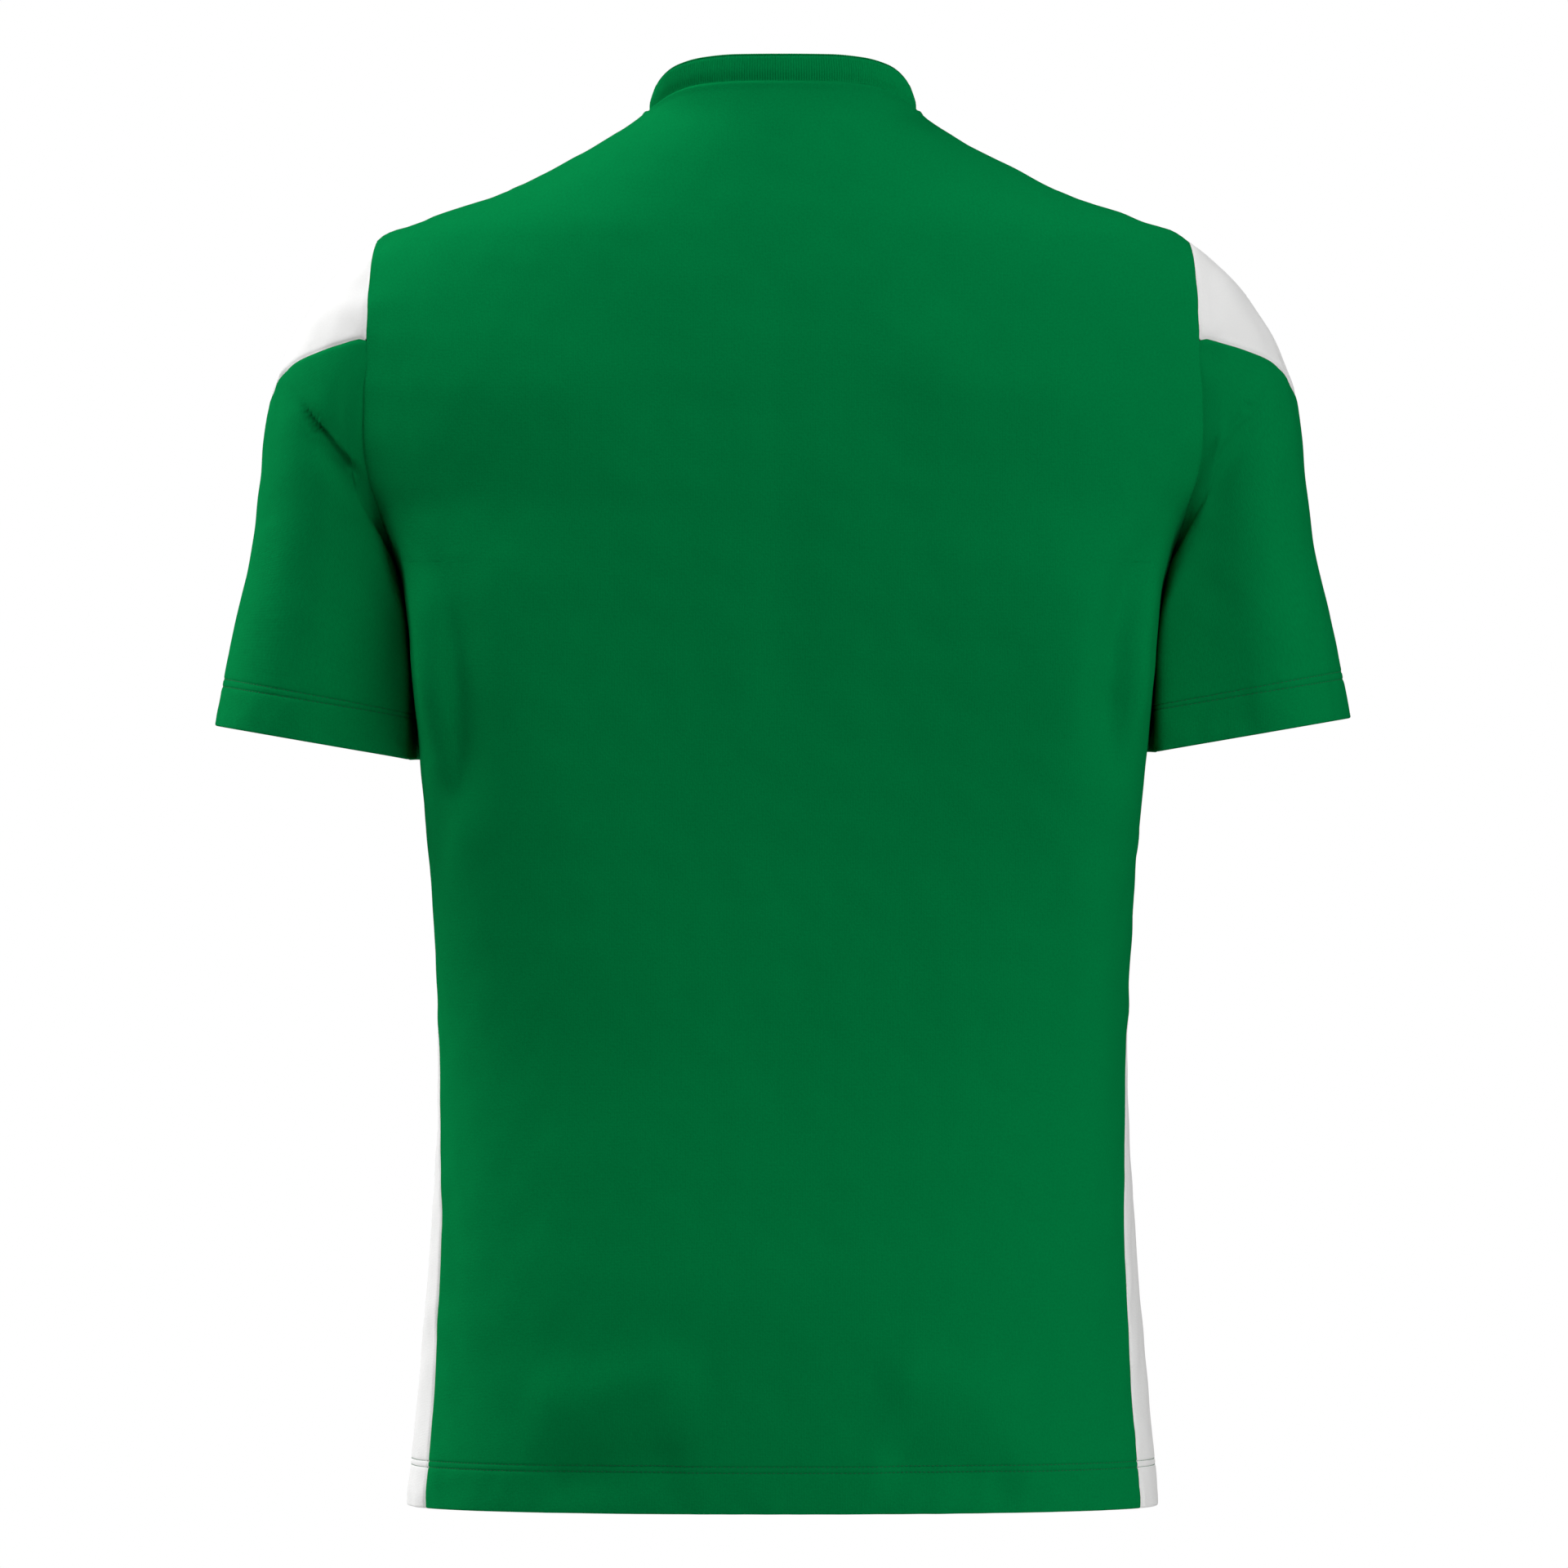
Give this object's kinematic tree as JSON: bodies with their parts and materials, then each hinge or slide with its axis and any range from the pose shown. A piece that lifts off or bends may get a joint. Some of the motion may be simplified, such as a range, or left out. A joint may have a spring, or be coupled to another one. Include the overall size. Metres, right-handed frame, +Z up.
{
  "type": "football jersey",
  "caption": "Short-sleeved knitted football jersey, filled out as if worn and hollow, with a rib neckband, pale sleeve-head inserts and pale side panels.",
  "frame": {"origin": "middle of the base of the neck, level with the two neck points, where the wearer's shoulders carry the jersey", "axes": "+Z up, -Y towards the front, +X towards the wearer's left"},
  "size_m": [0.589, 0.262, 0.7511],
  "materials": {
    "green_knit": "fine brushed polyester knit, green, matte",
    "white_knit": "fine brushed polyester knit, white, matte",
    "green_rib": "fine 1x1 rib knit, green, matte"
  },
  "bodies": {
    "root": {"back_panel": "green_knit", "front_panel": "green_knit", "side_panel_left": "white_knit", "side_panel_right": "white_knit", "sleeve_left": "green_knit", "sleeve_right": "green_knit", "cap_insert_left": "white_knit", "cap_insert_right": "white_knit", "collar": "green_rib"}
  },
  "joints": []
}
